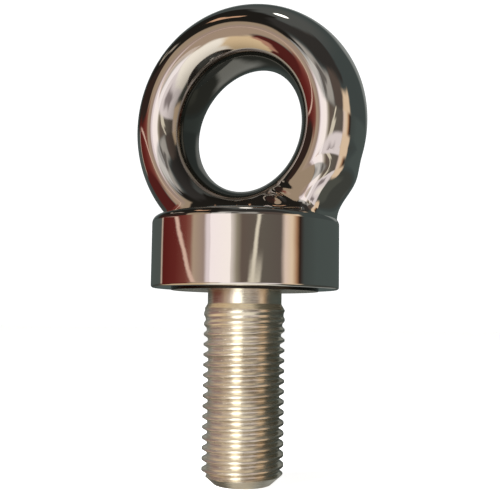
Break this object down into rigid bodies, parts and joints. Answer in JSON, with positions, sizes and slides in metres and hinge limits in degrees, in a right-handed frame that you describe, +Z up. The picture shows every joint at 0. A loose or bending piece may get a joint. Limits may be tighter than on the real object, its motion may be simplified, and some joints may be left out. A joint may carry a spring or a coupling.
{
  "type": "shoulder eye bolt",
  "caption": "Shoulder eye bolt: a closed lifting ring on a round collar with a coarse-threaded shank that screws into a load.",
  "frame": {"origin": "centre of the seat washer's lower face, the plane that bears on the load", "axes": "+Z up the bolt's axis through the ring, +Y through the ring's hole, +X across the ring"},
  "size_m": [0.0622, 0.0464, 0.1188],
  "materials": {
    "polished_steel": "mirror-polished stainless steel",
    "turned_steel": "stainless steel with fine turning lines"
  },
  "bodies": {
    "root": {"eye_ring": "polished_steel", "collar": "polished_steel", "foot_weld": "polished_steel", "threaded_stud": "turned_steel", "seat_washer": "turned_steel", "lock_pin": "turned_steel"}
  },
  "joints": []
}
